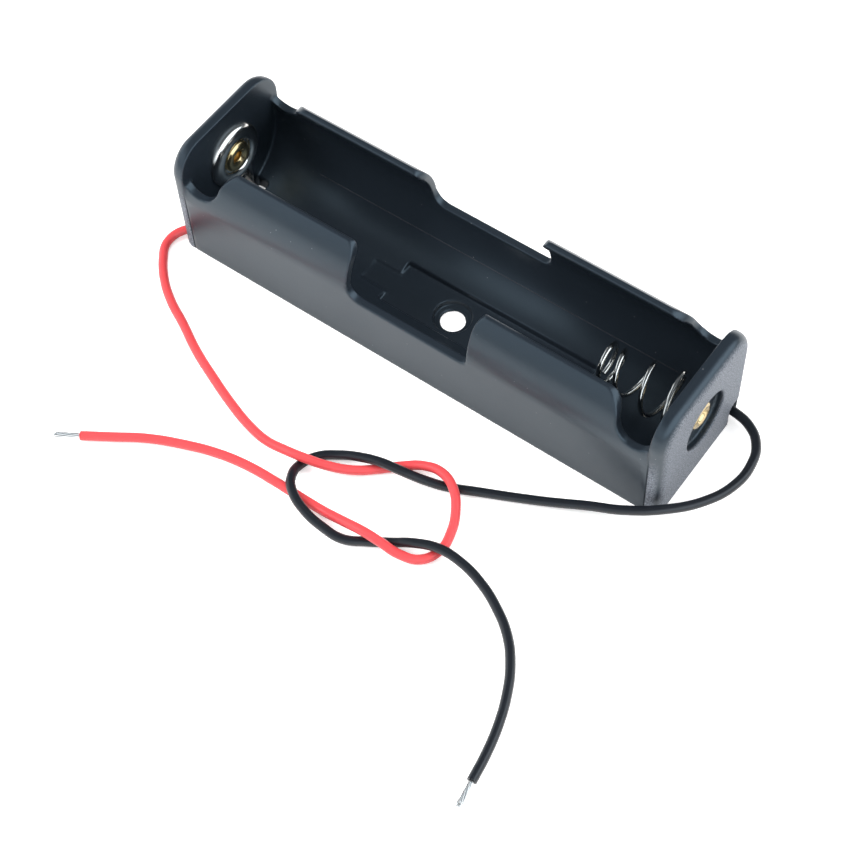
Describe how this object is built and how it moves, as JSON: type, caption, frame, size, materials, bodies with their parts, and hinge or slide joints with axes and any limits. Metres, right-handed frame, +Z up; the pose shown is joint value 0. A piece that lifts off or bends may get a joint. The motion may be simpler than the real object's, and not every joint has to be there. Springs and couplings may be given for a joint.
{
  "type": "cylindrical cell holder",
  "caption": "Open moulded holder for a long cylindrical cell, with curled side walls, riveted plate and spring contacts, and a flexible lead from each end.",
  "frame": {"origin": "centre of the body's base", "axes": "+X along the cell towards the spring contact, +Y across the side walls, +Z up out of the open side"},
  "size_m": [0.0875, 0.0668, 0.0189],
  "materials": {
    "body": "satin walls, fine matte texture on the end blocks",
    "contact": "bright nickel plate",
    "spring": "bright nickel plate",
    "rivet": "bright",
    "red_lead": "smooth soft insulation",
    "black_lead": "smooth soft insulation",
    "tinned_wire": "tinned strands"
  },
  "bodies": {
    "root": {"holder_body": "body", "positive_plate": "contact", "positive_rivet": "rivet", "negative_plate": "contact", "negative_rivet": "rivet", "contact_spring": "spring", "red_lead": "red_lead", "red_tip": "tinned_wire", "red_tail": "tinned_wire", "black_lead": "black_lead", "black_tip": "tinned_wire", "black_tail": "tinned_wire"}
  },
  "joints": []
}
